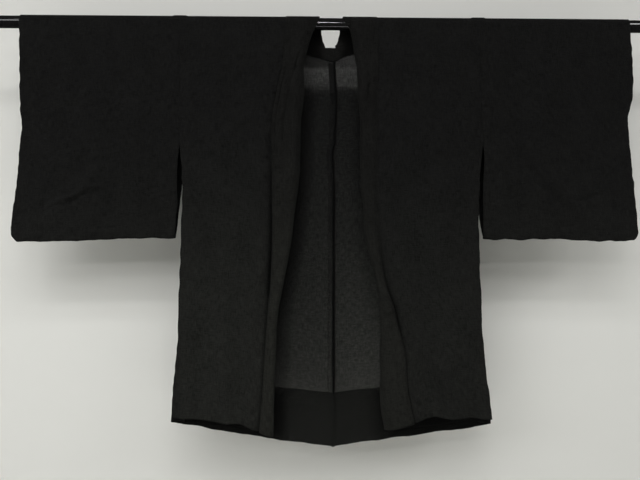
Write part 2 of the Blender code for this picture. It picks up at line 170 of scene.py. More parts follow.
NECK = both_sides("seam_out seam_drop edge_out edge_drop edge_depth turn", left=[
    (93.5, 17, 23.2, 16, 16, 0), (87, 35, 19.8, 29, 16.5, 250), (74, 50, 17, 38, 16, 650),
    (54.5, 61, 14.6, 44.5, 14.5, 950), (28, 69, 10.5, 45.5, 13.5, 1000), (0, 75.5, 3, 45.5, 13.2, 1000)
], right=[
    (86, 17, 15.5, 16, 16, 0), (78.5, 33.5, 9, 29, 16.5, 250), (66, 46.5, 8, 38, 16, 650),
    (47.5, 57, 9.5, 44.5, 14.5, 950), (27, 63, 2, 45.5, 13.5, 1000), (0, 75.5, -3, 45.5, 13.2, 1000)
])
COLLAR = both_sides("drop width bend turn", left=[
    (0, 69, 44, 0), (22, 60, 36, 200), (64, 51, 25.5, 300), (85, 48, 22.5, 330), (147, 62, 36, 330),
    (200, 66, 39, 350), (290, 67, 40, 400), (355, 68, 38.5, 500), (400, 68, 36.5, 650),
    (450, 66, 34, 850), (490, 63, 29.5, 950), (521, 61, 25.3, 1000), (563, 60, 19.3, 1000),
    (610, 62, 12.8, 1000), (667, 64, 13.2, 1000), (760, 66, 16.5, 1000), (868, 68, 21.7, 900)
], right=[
    (0, 69, 44, 0), (22, 59, 34, 150), (74, 60, 31.8, 550), (136, 67, 31.6, 800), (210, 70, 27.3, 970),
    (355, 70, 26.3, 970), (375, 70, 23.3, 970), (417, 70, 22.8, 970), (460, 70, 21.3, 970),
    (500, 70, 18.3, 970), (535, 70, 11.3, 970), (565, 70, 13.6, 950), (604, 70, 24.2, 850),
    (645, 70, 28.6, 720), (690, 70, 36.6, 580), (760, 70, 39, 480), (857, 70, 40, 300)
])
SLEEVE_INNER = both_sides("drop front back", left=[
    (255, 319, 319), (275, 321.5, 319), (300, 324, 319.5), (343, 325.5, 322), (364, 325.5, 324),
    (385, 325, 326.3), (406, 328.3, 328), (427, 330, 329.5), (448, 332, 332), (464, 335, 334)
], right=[
    (255, 316.6, 316.6), (268, 319.5, 316.7), (284, 320.5, 316.8), (300, 320.2, 316.9), (330, 319.4, 317),
    (372, 319.5, 317.5), (406, 321, 318.4), (427, 321.8, 320.4), (448, 322.5, 324.6), (460, 323, 327)
])
SLEEVE_OUTER = both_sides("drop outer", left=[
    (0, 656), (84, 656.5), (167, 657.5), (198, 656.5), (229, 655), (252, 658.5), (314, 663), (356, 667),
    (398, 673), (436, 677), (454, 675), (467, 665)
], right=[
    (0, 627.5), (54, 633), (100, 637), (137, 639), (158, 638), (181, 632.5), (211, 631.3), (243, 633.6),
    (286, 638), (328, 642.5), (371, 647), (414, 651.5), (434, 653.5), (449, 651.5), (460, 643)
])
SLEEVE_BOTTOM = both_sides("across drop", left=[
    (0, 456), (200, 456.3), (400, 458.4), (620, 462.3), (800, 466), (1000, 467.5)
], right=[
    (0, 454.5), (130, 454.5), (250, 455.5), (400, 453.5), (550, 453.5), (630, 457), (780, 459.5),
    (880, 460.3), (1000, 458)
])
# Painted shade that each front lays on the back beside its collar's edge, by drop, on the left and on the
# right.
PAINTED_SHADE_BY_FRONTS = table(
    "drop left right",
    (60, 200, 0), (130, 260, 0), (152, 480, 80), (300, 560, 120), (500, 540, 120), (600, 500, 50),
    (700, 400, 0), (780, 260, 0), (792, 820, 350), (910, 720, 350))
PAINTED_SHADE_REACH = 0.034
GUSSET = table("drop width", (255, 33), (400, 40), (600, 52), (860, 68))

# Folds and creases: a ridge towards the viewer (a trough if negative) from a top to an end, bowed out
# sideways by "bow" at its middle.
FOLD_COLUMNS = "top_drop top_out end_drop end_out bow width height"
FOLDS = {fold: table(FOLD_COLUMNS, *rows) for fold, rows in {
    "front_left": [
        (90, 140, 600, 158, 0, 16, 5), (560, 232, 860, 214, 0, 14, 6), (640, 272, 860, 284, 0, 16, -5),
        (60, 230, 420, 246, 6, 22, 1.6), (300, 196, 640, 186, -5, 17, 1.8),
        (738, 237, 800, 236, 0, 5, 2.2), (753, 307, 794, 291, 0, 4, 1.6),
        (742, 250, 812, 262, 2, 5, -1.6), (430, 290, 700, 300, 4, 12, 1.4),
        (118, 296, 236, 300, 0, 8, 0.9), (500, 150, 840, 166, 3, 9, 1.7),
        (20, 180, 130, 196, 2, 13, 0.9)],
    "front_right": [
        (40, 120, 520, 128, 0, 15, 4), (520, 150, 700, 190, 0, 16, 6), (690, 216, 860, 262, 0, 13, 8),
        (730, 256, 860, 300, 0, 13, -6), (374, 158, 626, 164, 0, 14, 2.2),
        (735, 220, 802, 262, 4, 5, 3.4), (760, 262, 802, 291, 3, 5, 3),
        (130, 236, 470, 224, -6, 20, 1.5), (60, 288, 240, 296, 0, 9, 1.1),
        (450, 270, 720, 286, 4, 15, 1.7), (600, 196, 830, 214, -4, 9, -1.4),
        (96, 176, 300, 182, 3, 12, 1)],
    "back_left": [
        (60, 130, 880, 150, 0, 22, -4), (300, 240, 880, 256, 0, 20, 4), (150, 46, 700, 60, 4, 13, 1.1),
        (120, 80, 520, 92, 0, 10, -1.2), (480, 30, 800, 38, 0, 9, 0.9), (90, 200, 420, 190, 5, 18, 1.5),
        (520, 196, 860, 208, -4, 12, -1.7), (640, 290, 880, 304, 3, 12, 1.8),
        (100, 290, 300, 284, 0, 9, 1.2)],
    "back_right": [
        (60, 120, 880, 142, 0, 22, -4), (260, 230, 880, 262, 0, 20, 4), (140, 40, 640, 52, 3, 12, 1),
        (100, 84, 480, 96, 0, 11, -1.2), (520, 24, 790, 32, 0, 8, 0.8), (110, 196, 400, 204, -5, 18, 1.4),
        (500, 190, 860, 204, 4, 12, 1.6), (620, 296, 880, 310, 3, 12, -1.8),
        (130, 284, 330, 290, 0, 9, 1.2)],
    "sleeve_left": [
        (300, 470, 420, 600, 0, 16, 4), (30, 345, 240, 338, 0, 14, 3), (350, 474, 351, 516, 2, 4, 2.6),
        (354, 514, 374, 560, -2, 4, 3.2), (374, 562, 394, 604, 1, 4, 2.6),
        (362, 478, 364, 520, 0, 5, -2), (366, 518, 386, 562, -2, 5, -2.4),
        (362, 349, 371, 374, 0, 3.5, 2.2), (346, 354, 352, 380, 0, 4, -1.2),
        (246, 499, 340, 502, 2, 9, 1), (238, 556, 347, 563, -3, 9, 1.1),
        (60, 400, 300, 414, 5, 20, 1.2), (90, 590, 260, 580, 4, 16, 1.2), (392, 360, 404, 470, 0, 7, 1.1),
        (180, 440, 330, 436, 3, 8, -0.8)],
    "sleeve_right": [
        (10, 330, 430, 345, 0, 13, 6), (250, 390, 400, 530, 0, 16, 4), (290, 620, 400, 560, 0, 16, 4),
        (279, 411, 379, 507, -8, 5, 1.5), (290, 400, 390, 498, -8, 5, -1),
        (372, 505, 362, 560, -5, 4, -3.4), (366, 556, 300, 614, 8, 5, -3.6),
        (382, 508, 374, 566, -5, 5, 2.4), (306, 395, 331, 431, 0, 5, 1.5), (96, 358, 121, 400, 0, 4, 1.4),
        (198, 563, 229, 595, 3, 5, 1.6), (122, 331, 290, 331, 0, 6, -1.6),
        (143, 362, 289, 363, 0, 6, -1.7), (60, 480, 300, 494, 6, 22, 1.3),
        (120, 600, 260, 606, 0, 12, 1.1)],
}.items()}

# Small pleats and creases in the collar: where each starts and ends, how far from the seam it runs, and how
# deep it sinks. The long one beside the left seam is the deep roll that the band makes there.
COLLAR_PLEATS = both_sides("top_drop top_in end_drop end_in width depth", left=[
    (60, 33, 118, 27, 3.2, 5.5), (104, 27, 290, 24, 3, 4.4), (90, 9, 300, 8, 2.8, 4.2),
    (240, 30, 420, 24, 4, 1.4), (420, 18, 560, 13, 4, 1.4), (640, 7.5, 800, 8.5, 1.8, 1.5),
    (650, 12.5, 780, 13, 1.8, 1.3), (700, 4, 850, 5, 2.2, 1.3), (20, 12, 90, 15, 4, 1.5)
], right=[
    (112, 14, 184, 27, 3, 5), (110, 2.5, 560, 3, 6, 3.4), (170, 27, 240, 28, 3, 3.4),
    (250, 15, 430, 13, 5, 1.2), (640, 17, 800, 22, 4, 1.5), (700, 31, 840, 34, 4, 1.3),
    (20, 10, 80, 13, 4, 1.4)
])


def smooth(x):
    """0 below 0, 1 above 1, and an even rise between them."""
    x = np.clip(x, 0.0, 1.0)
    return x * x * (3.0 - 2.0 * x)


def rise(x, start, over):
    """0 up to the start, and an even rise to 1 over the distance that follows."""
    return smooth((x - start) / over)


def fall(x, end, over):
    """An even fall from 1 over the distance before the end, and 0 from there."""
    return smooth((end - x) / over)


def bell(distance, width):
    """1 at no distance, falling away evenly on both sides."""
    return np.exp(-((distance / width) ** 2))


def joined(*parts):
    """Points or vectors from their parts, each an array or a number for all."""
    return np.stack(np.broadcast_arrays(*parts), axis=-1)


def unit(vectors):
    """Each vector over its own length."""
    return vectors / np.linalg.norm(vectors, axis=-1, keepdims=True)


def along(rows, column, where, key="drop"):
    """A smooth curve through one column of a table, read at each place: a cubic between rows, whose slope
    at a row is the mean of the slopes beside it."""
    at, value = rows[key], rows[column]
    step = np.diff(value) / np.diff(at)
    slope = np.concatenate([step[:1], (step[1:] + step[:-1]) / 2, step[-1:]])
    where = np.clip(where, at[0], at[-1])
    i = np.clip(np.searchsorted(at, where, side="right") - 1, 0, len(at) - 2)
    length = at[i + 1] - at[i]
    t = (where - at[i]) / length
    return (value[i] * (1 + 2 * t) * (1 - t) ** 2 + value[i + 1] * t * t * (3 - 2 * t)
            + length * slope[i] * t * (1 - t) ** 2 - length * slope[i + 1] * t * t * (1 - t))


def ripples(seed, u, v, longest, shortest, count=9):
    """A sum of sine waves that run in seeded directions, each as tall as its length is long, whose lengths
    fall evenly from the longest to the shortest. It stays near -1 to 1."""
    chance = np.random.default_rng(seed)
    lengths = np.geomspace(longest, shortest, count)
    turns, starts = chance.uniform(0, math.pi, count), chance.uniform(0, 2 * math.pi, count)
    height = 0
    for length, turn, start in zip(lengths, turns, starts):
        height = height + length * np.sin(
            2 * math.pi * (u * math.cos(turn) + v * math.sin(turn)) / length + start)
    return height / lengths.sum() * 1.8


def wavering(seed, v, longest=0.09, shortest=0.012, count=7):
    """A sum of sine waves along one direction, for the waver of an edge and the pucker of a seam."""
    return ripples(seed, np.zeros_like(v), v / 0.8, longest, shortest, count)


def relief(name, drop, out):
    """The height of the named folds at a place: each is a bell across its line, whose ends fade out."""
    height = np.zeros(np.broadcast(drop, out).shape)
    rows = FOLDS[name]
    for top, top_out, end, end_out, bow, width, tall in zip(*(rows[key] for key in rows)):
        run_drop, run_out = end - top, end_out - top_out
        length = math.hypot(run_drop, run_out)
        run = ((drop - top) * run_drop + (out - top_out) * run_out) / length ** 2
        aside = ((out - top_out) * run_drop - (drop - top) * run_out) / length
        aside = aside - bow * 4 * np.clip(run, 0, 1) * (1 - np.clip(run, 0, 1))
        ends = min(0.06, 0.45 * length) / length
        fade = rise(run, -ends / 3, ends) * fall(run, 1 + ends, ends)
        height += tall * fade * bell(aside, width)
    return height


def rumple(seed, out, drop):
    """The soft unevenness of crepe that hangs: broad swells and small crinkles, in metres."""
    swells = 0.0012 * ripples(seed, out, drop, 0.19, 0.05)
    return swells + 0.00075 * ripples(seed + 50, out, drop, 0.042, 0.012)


def seam_dip(seed, distance, run, share=1.0):
    """The valley beside a seam, with the small uneven puckers that its thread pulls in."""
    return share * (-0.0012 * bell(distance, 0.0026)
                    + 0.0005 * wavering(seed, run, 0.03, 0.008) * bell(distance, 0.01))


def cloth_radius(wall):
    """The middle of a layer of cloth that lies over the rod."""
    return ROD_RADIUS + REST_GAP + wall / 2


def over_rod(wall, lift=0.0):
    """Depth and drop of a layer's middle from the rod's front over its top to its back, ends left out."""
    angle = np.linspace(math.pi, 0, ARC_STEPS + 1)[1:-1, None]
    radius = cloth_radius(wall) + lift
    return radius * np.cos(angle), -radius * np.sin(angle)


def side_edge(rows, column, side, drop):
    """An edge that follows the armhole seam, and its own table below it."""
    top, end = ARMHOLE[side]
    armhole = top + (end - top) * drop / ARMHOLE_DROP
    return np.where(drop < ARMHOLE_DROP, armhole, along(rows[side], column, drop))


def side_line(rows, side, seed, drop):
    """A panel's side edge at its seam, with a small waver below the armhole."""
    edge = side_edge(rows, "side", side, drop) + SEAM_LAP / 2
    return edge + SIDE_WAVER * wavering(seed, drop) * rise(drop, 0.27, 0.04)


def shares(count):
    """Even shares from 0 to 1, drawn a little closer together at both ends."""
    t = np.linspace(0, 1, count + 1)
    return t - 0.085 * np.sin(2 * math.pi * t)


def place(side, out, depth, drop):
    """Points in space from distances on one side of the jacket."""
    return joined(SIDES[side] * out, depth, -drop)


def moved(points, distance):
    """A grid moved along its own normals."""
    down, sideways = np.gradient(points, axis=0), np.gradient(points, axis=1)
    return points + distance * unit(np.cross(down, sideways))


def front_levels():
    """The share of the way down at each row of a front, from the hem up, closer near the shoulder."""
    return np.linspace(1, 0, PANEL_ROWS + 1) ** 1.15


def front_grid(side):
    """A front panel from its hem (first row) up to the rod: arrays of out, depth and drop. Its edges waver
    a little, its folds and rumples stand towards the viewer, and its seams sink."""
    seed = SEEDS[side]["front"]
    across = shares(PANEL_COLUMNS)[None, :]
    level = front_levels()[:, None]
    hem = along(FRONT_HEM[side], "drop", across, key="across")
    hem = hem + EDGE_WAVER * wavering(seed, across * 0.2)
    drop = level * hem
    inner = along(FRONT_SEAM[side], "seam", drop[:, :1]) - SEAM_LAP / 2
    outer = side_line(FRONT_SIDE, side, seed + 1, drop[:, -1:])
    out = inner + (outer - inner) * across
    height = relief("front_" + side, drop, out) + rumple(seed + 2, out, drop)
    height = height + seam_dip(seed + 3, out - inner, drop) + seam_dip(seed + 4, outer - out, drop, 0.5)
    height = height - along(FRONT_SEAM_SINK[side], "sink", drop[:, :1]) * bell(out - inner, 0.0058)
    height = height + 0.0004 * bell(drop - hem + 0.01, 0.003)
    return out, -along(BODY_DEPTH, "front", drop) - height * smooth(drop / FREE_DROP), drop


def centre_place(drop):
    """How far to the right of the centre line the back's centre seam hangs."""
    return along(CENTRE_SEAM, "place", drop)


def neck_rows(side):
    """The neck table at even steps from the shoulder to the centre seam, where its seam drifts with it."""
    rows = dict(NECK[side], row=np.linspace(0, 1, len(NECK[side]["turn"])))
    rows = {key: along(rows, key, np.linspace(0, 1, NECK_ROWS + 1), key="row") for key in NECK[side]}
    near = np.clip(1 - rows["seam_out"] / 0.09, 0, 1)
    drift = SIDES[side] * centre_place(rows["seam_drop"]) * near
    return dict(rows, seam_out=rows["seam_out"] + drift)


def back_grid(side):
    """A back panel from just under the rod (first row) to its hem: arrays of out, depth and drop."""
    seed = SEEDS[side]["back"]
    across = shares(PANEL_COLUMNS)[None, :]
    hem = along(BACK_HEM[side], "drop", across, key="across")
    hem = hem + EDGE_WAVER * wavering(seed, across * 0.34) * smooth(across / 0.05)
    neck = neck_rows(side)
    first = neck["seam_drop"][-1] - SEAM_LAP
    below = first + (hem[0, 0] - first) * np.linspace(0, 1, PANEL_ROWS + 1)
    inner_drop = np.concatenate([neck["seam_drop"][:-1] - SEAM_LAP, below])[:, None]
    inner = np.concatenate([
        neck["seam_out"][:-1] - SEAM_LAP, SIDES[side] * centre_place(below) - SEAM_LAP / 2])[:, None]
    drop = inner_drop / hem[0, 0] * hem
    outer = side_line(BACK_SIDE, side, seed + 1, drop[:, -1:])
    out = inner + (outer - inner) * across
    height = -relief("back_" + side, drop, out) + rumple(seed + 2, out, drop)
    height = height - 0.0036 * bell(out - inner, 0.0022)
    height = height + seam_dip(seed + 3, out - inner, drop) + seam_dip(seed + 4, outer - out, drop, 0.5)
    height = height + 0.0005 * bell(drop - (hem - HEM_FACING_HEIGHT), 0.004)
    return out, along(BODY_DEPTH, "back", drop) + height * smooth(drop / FREE_DROP), drop


def seam_lift(distance):
    """The seam allowances folded under the cloth beside an armhole lift it a little over the rod."""
    return 0.0013 * fall(distance, 0.017, 0.006) * rise(distance, -0.002, 0.003)


def body_panel(side):
    """One length of cloth: up the front, over the rod and down the back."""
    front, back = front_grid(side), back_grid(side)
    share = np.linspace(0, 1, ARC_STEPS + 1)[1:-1, None]
    arc_out = front[0][-1] + (back[0][0] - front[0][-1]) * share
    depth, drop = over_rod(CLOTH_WALL, seam_lift(arc_out[:, -1:] - arc_out))
    return np.concatenate([place(side, *front), place(side, arc_out, depth, drop), place(side, *back)])


def sleeve(side):
    """A tube round the rod, sewn shut below the cuff. Its loop starts at the rod's front and runs down the
    front layer, round the bottom fold, up the back layer and over the rod. The pairs of rows sewn together
    come with it."""
    seed = SEEDS[side]["sleeve"]
    across = shares(SLEEVE_COLUMNS)[None, :]
    bottom = along(SLEEVE_BOTTOM[side], "drop", across, key="across")
    bottom = bottom + SLEEVE_BOTTOM_WAVER * wavering(seed, across * 0.34, 0.07, 0.02)
    level = np.linspace(0, 1, SLEEVE_ROWS + 1)[:, None] ** 0.92
    drop = level * (bottom - SLEEVE_FOLD_HALF_DEPTH)
    front_inner = side_edge(SLEEVE_INNER, "front", side, drop[:, :1]) - SEAM_LAP
    back_inner = side_edge(SLEEVE_INNER, "back", side, drop[:, :1]) - SEAM_LAP
    outer = along(SLEEVE_OUTER[side], "outer", drop[:, -1:])
    outer = outer + EDGE_WAVER * wavering(seed + 1, drop[:, -1:], 0.05, 0.012) * smooth(drop[:, -1:] / 0.02)
    out = front_inner + (outer - front_inner) * across
    back_out = back_inner + (outer - back_inner) * across
    pinch = rise(across, 0.62, 0.38) * np.clip(drop / CUFF_DROP[side], 0, 1)
    hung = smooth(drop / FREE_DROP)
    folds = relief("sleeve_" + side, drop, out)
    loose = 1 - 0.75 * pinch
    above = bottom - drop
    depths = []
    for layer, edge, key, share in ((1, out, "front", 1.0), (2, back_out, "back", -0.4)):
        height = (share * folds + rumple(seed + 10 * layer, edge, drop)) * loose
        height = height + seam_dip(seed + layer + 2, edge - edge[:, :1], drop, 0.5)
        height = height + 0.0006 * bell(above - 0.016, 0.0035) - 0.0005 * bell(above - 0.024, 0.004)
        deep = along(SLEEVE_DEPTH, key, drop)
        deep = deep + (CUFF_SEAM_HALF_DEPTH - deep) * pinch
        depths.append(np.maximum(deep + height * hung, LEAST_SLEEVE_HALF_DEPTH))
    front, back = depths
    top_depth, top_drop = over_rod(CLOTH_WALL, seam_lift(out[:1] - out[:1, :1]))
    turn = np.linspace(0, math.pi, SLEEVE_FOLD_STEPS + 1)[1:-1, None]
    half = (front[-1:] + back[-1:]) / 2
    low = drop[-1:] + half * np.sin(turn)
    low_depth = (back[-1:] - front[-1:]) / 2 - half * np.cos(turn)
    low_outer, last_outer = (along(SLEEVE_OUTER[side], "outer", at[:, -1:]) for at in (low, drop[-1:]))
    low_outer = outer[-1:] + low_outer - last_outer
    low_inner = front_inner[-1:] + (back_inner[-1:] - front_inner[-1:]) * turn / math.pi
    low_out = low_inner + (low_outer - low_inner) * across
    points = np.concatenate([
        place(side, out, -front, drop), place(side, low_out, low_depth, low),
        place(side, back_out, back, drop)[::-1],
        place(side, out[:1], top_depth[::-1], top_drop[::-1])])
    first_sewn = int(np.argmax(drop[:, -1] >= CUFF_DROP[side] - CUFF_TACK))
    last = 2 * SLEEVE_ROWS + 1 + len(turn)
    return points, [(row, last - row) for row in range(first_sewn, (last + 1) // 2)]


def collar_band(seam, towards, turned_to, rows, roll, sunk):
    """The collar across its width at each row. From the seam it runs straight, bends over an arc as long as
    half a turn round the roll, and runs straight again to its free edge. The heading at each of many short
    steps gives the curve, and the columns stand at even shares of the straight, the arc and the tail. Its
    pleats sink it towards the side it turns to, by the distance from the seam that sunk is asked for."""
    width, bend, turn = (rows[key][:, None] for key in ("width", "bend", "turn"))
    arc = math.pi * roll
    ends = (0 * width, bend, bend + arc, width)
    stops = [start + (end - start) * (np.arange(count * FINE) / (count * FINE)) ** power
             for start, end, count, power in zip(ends, ends[1:], COLLAR_COLUMNS, COLLAR_CROWDING)]
    stops = np.concatenate([*stops, width], axis=1)
    heading = np.clip(((stops[:, 1:] + stops[:, :-1]) / 2 - bend) / arc, 0, 1) * turn * math.pi
    step = np.diff(stops, axis=1)
    ahead = np.cumsum(np.cos(heading) * step, axis=1)[:, FINE - 1::FINE]
    aside = np.cumsum(np.sin(heading) * step, axis=1)[:, FINE - 1::FINE]
    ahead, aside = (np.concatenate([0 * width, part], axis=1) for part in (ahead, aside))
    heading = np.concatenate([0 * width, heading[:, FINE - 1::FINE]], axis=1)
    deep = sunk(stops[:, ::FINE])
    ahead = (ahead - np.sin(heading) * deep)[..., None]
    aside = (aside + np.cos(heading) * deep)[..., None]
    return seam[:, None] + ahead * towards[:, None] + aside * turned_to[:, None]


def pleats(side, drop, inward):
    """How deep the collar sinks at a place: each pleat is a bell across its line, whose ends fade out."""
    deep = np.zeros(inward.shape)
    rows = COLLAR_PLEATS[side]
    for top, top_in, end, end_in, width, sink in zip(*(rows[key] for key in rows)):
        line = top_in + (end_in - top_in) * np.clip((drop - top) / (end - top), 0, 1)
        ends = min(0.05, 0.4 * (end - top))
        fade = rise(drop, top, ends) * fall(drop, end, ends)
        deep += sink * fade * bell(inward - line, width)
    return deep


def collar_front(side):
    """The band up one front, from the hem to the rod, beside the panel's own rows."""
    seed = SEEDS[side]["collar"]
    hem = FRONT_HEM[side]["drop"][0] + EDGE_WAVER * wavering(SEEDS[side]["front"], np.zeros(1))
    drop = front_levels() * hem
    thicker = cloth_radius(COLLAR_WALL) - cloth_radius(CLOTH_WALL)
    depth = -along(BODY_DEPTH, "front", drop) - thicker * (1 - smooth(drop / 0.06))
    lean = COLLAR_RISE * smooth(drop / 0.12)
    droop = COLLAR_HEM_FALL[side] * rise(drop, 0.62, 0.22)
    towards = unit(joined(-SIDES[side], -lean, -droop))
    turned_to = unit(joined(-SIDES[side] * lean, 1.0, 0.0))
    seam = place(side, along(FRONT_SEAM[side], "seam", drop) + SEAM_LAP, depth, drop) - SEAM_LAP * towards
    rows = {key: along(COLLAR[side], key, drop) for key in ("width", "bend", "turn")}
    rows["bend"] = rows["bend"] + EDGE_WAVER * wavering(seed, drop, 0.12, 0.03)

    def sunk(inward):
        """Pleats, the seam's sink and its puckers, less a soft swell, all fading out near the rod."""
        level = drop[:, None]
        swell = 0.0007 * ripples(seed + 1, inward, level, 0.12, 0.03) - seam_dip(seed + 2, inward, level)
        sink = along(FRONT_SEAM_SINK[side], "sink", level) * bell(inward, 0.0042)
        return (pleats(side, level, inward) + sink - swell) * smooth(level / 0.05)

    return collar_band(seam, towards, turned_to, rows, COLLAR_ROLL, sunk)


def collar_neck(side):
    """The band behind one half of the neck, folded over outwards: its free half hangs behind the back."""
    rows = neck_rows(side)
    seam = place(side, rows["seam_out"], along(BODY_DEPTH, "back", rows["seam_drop"]), rows["seam_drop"])
    edge = place(side, rows["edge_out"], rows["edge_depth"], rows["edge_drop"])
    towards = unit(edge - seam)
    backwards = np.array([0.0, 1.0, 0.0])
    turned_to = unit(backwards - towards * (towards @ backwards)[:, None])
    seam = seam + NECK_SEAM_EASE * towards
    turn = rows["turn"]
    stands = np.linalg.norm(edge - seam, axis=1) - NECK_ROLL / np.maximum(turn, 0.5)
    lengths = {
        "width": NECK_WIDTH + (COLLAR_WIDTH - NECK_WIDTH) * (1 - smooth(turn / 0.9)), "turn": turn,
        "bend": np.minimum(stands, NECK_MOST_BEND)}
    return collar_band(seam, towards, turned_to, lengths, NECK_ROLL, lambda inward: 0 * inward)


def collar_shoulder(front, back):
    """The band over the rod, flat on it, from the last row in front to the first row behind."""
    depth, drop = over_rod(COLLAR_WALL)
    share = np.linspace(0, 1, ARC_STEPS + 1)[1:-1, None]
    out = front[-1, :, 0] + (back[0, :, 0] - front[-1, :, 0]) * share
    return joined(out, depth, -drop)


def collar():
    """One long band: up the left front, round the neck and down the right front."""
    halves = []
    for side in SIDES:
        front, back = collar_front(side), collar_neck(side)
        halves.append(np.concatenate([front, collar_shoulder(front, back), back]))
    return np.concatenate([halves[0], halves[1][-2::-1]])


def gusset(side):
    """The strip let in between the front and back side edges, folded inwards in a soft V."""
    level = np.linspace(0, 1, GUSSET_ROWS + 1)[:, None]
    across = np.linspace(0, 1, GUSSET_COLUMNS + 1)[None, :]
    top = ARMHOLE_DROP + GUSSET_TOP
    end = FRONT_HEM[side]["drop"][-1] * (1 - across) + BACK_HEM[side]["drop"][-1] * across
    drop = top + (end - top) * level
    front_out = along(FRONT_SIDE[side], "side", drop)
    back_out = along(BACK_SIDE[side], "side", drop)
    front_depth = GUSSET_CLEAR - along(BODY_DEPTH, "front", drop) - relief("front_" + side, drop, front_out)
    back_depth = along(BODY_DEPTH, "back", drop) - relief("back_" + side, drop, back_out) - GUSSET_CLEAR
    half_gap = (back_depth - front_depth) / 2
    half_width = along(GUSSET, "width", drop) / 2
    inward = np.sqrt(np.maximum(half_width ** 2 - half_gap ** 2, GUSSET_LEAST_FOLD ** 2))
    out = front_out + (back_out - front_out) * across - GUSSET_INSET - inward * 4 * across * (1 - across)
    out = out + 0.0012 * ripples(GUSSET_SEED, drop, across * 0.04, 0.1, 0.025) * 4 * across * (1 - across)
    return place(side, out, front_depth + 2 * half_gap * across, drop)


def inside_back(side, rows, columns):
    """Part of a back panel's grid, moved inwards to lie against it."""
    points = place(side, *back_grid(side))[rows, columns]
    return moved(points, SIDES[side] * (CLOTH_WALL + 1.5 * LAYER_GAP))


def facing_row():
    """The back grid's row at which the turned-up hem begins."""
    hem = BACK_HEM["left"]["drop"][0]
    first = NECK["left"]["seam_drop"][-1]
    return NECK_ROWS + round(PANEL_ROWS * (1 - HEM_FACING_HEIGHT / (hem - first)))


def hem_facing(side):
    """The back's turned-up hem: the back panel's own points, moved inwards."""
    return inside_back(side, slice(facing_row(), None), slice(0, PANEL_COLUMNS))


def centre_seam_allowance():
    """The narrow turned-back edge along the centre seam: the left back's first columns, moved inwards."""
    columns = int(np.argmax(shares(PANEL_COLUMNS) * PANEL_WIDTH > ALLOWANCE_WIDTH)) + 1
    strip = inside_back("left", slice(NECK_ROWS, facing_row() + 1), slice(0, columns))
    strip[0] += 0.5 * (strip[1] - strip[0])
    return strip


def lightening_of(points):
    """How much lighter the cloth's tone is made: none at the shoulders, most near the hem, and more on the
    left front. On the back, right of the centre above the turned-up hem, it is painted light, for light
    that shines through the sheer back."""
    drop = -points[..., 2]
    out, depth = points[..., 0], points[..., 1]
    left = rise(drop, 0.14, 0.6) * smooth(-depth / 0.01)
    left = left * smooth(-out / 0.03) * rise(out, -0.33, 0.02)
    # Painted light: more lightening on the back to the right of the centre, for light shining through the
    # sheer back.
    paler_and_painted_light = 0.66 + 0.45 * smooth(out / 0.07) * smooth(depth / 0.01) * fall(drop, 0.79, 0.02)
    return np.maximum(paler_and_painted_light * rise(drop, 0.2, 0.5), left)


def painted_shade_masks(points):
    """How much painted shade the fronts lay on the back's cloth, and how deep a painted shadow it takes.
    The painted shade makes the sheer cloth cover all that lies behind, and keeps its tone from being
    lightened.
    It lies wholly well behind the fronts, except at the very hem, less and less towards the middle of the
    opening, a little under the folded collar, and along the centre seam, where the cloth lies double. The
    deepest painted shadow lies just inside the collar's edges, for the shadow that they cast on the back,
    and along that seam, for the shade in its groove."""
    out, drop = points[..., 0], -points[..., 2]
    painted_shade, painted_shadow = np.zeros(out.shape), np.zeros(out.shape)
    for side, sign in SIDES.items():
        front = collar_front(side)[::-1]
        beyond = sign * out - np.interp(drop, -front[:, 0, 2], np.min(sign * front[..., 0], axis=1))
        near = np.interp(drop, PAINTED_SHADE_BY_FRONTS["drop"], PAINTED_SHADE_BY_FRONTS[side]) * np.clip(beyond / PAINTED_SHADE_REACH + 1, 0, 1)
        behind = rise(beyond - 0.01, 0.022 * fall(drop, 0.17, 0.02), 0.012)
        painted_shade = np.maximum(painted_shade, near + (1 - near) * behind)
        painted_shadow = np.maximum(painted_shadow, near * (1 - rise(beyond, 0.006, 0.03)))
    hem = 1 - 0.55 * rise(drop + 0.14 * np.abs(out), 0.882, 0.018)
    under_collar = (0.42 - 0.16 * rise(out, -0.01, 0.02)) * fall(drop, 0.089, 0.006)
    seam = bell(out - centre_place(drop), 0.0022) * fall(drop, 0.8, 0.01)
    inside = smooth(points[..., 1] / 0.01)
    painted_shade = 1 - (1 - hem * painted_shade) * (1 - under_collar)
    return np.maximum(painted_shade, seam) * inside, np.clip(np.maximum(hem * painted_shadow, seam) * inside, 0, 1)


def shelters_stand(points):
    """How far the collar's stand is sheltered: at the sides of the neck, on the half that stands."""
    depth = points[..., 1]
    sides = rise(np.abs(points[..., 0]), 0.012, 0.02)
    return 0.9 * sides * smooth(depth / 0.01) * fall(depth, 0.0215, 0.003)


def quads(index):
    """The four corners of every cell of a grid."""
    corners = [index[:-1, :-1], index[:-1, 1:], index[1:, 1:], index[1:, :-1]]
    return np.stack(corners, axis=-1).reshape(-1, 4)


def put(name, data):
    """A new object that holds the data, in the scene."""
    made = bpy.data.objects.new(name, data)
    bpy.context.scene.collection.objects.link(made)
    return made


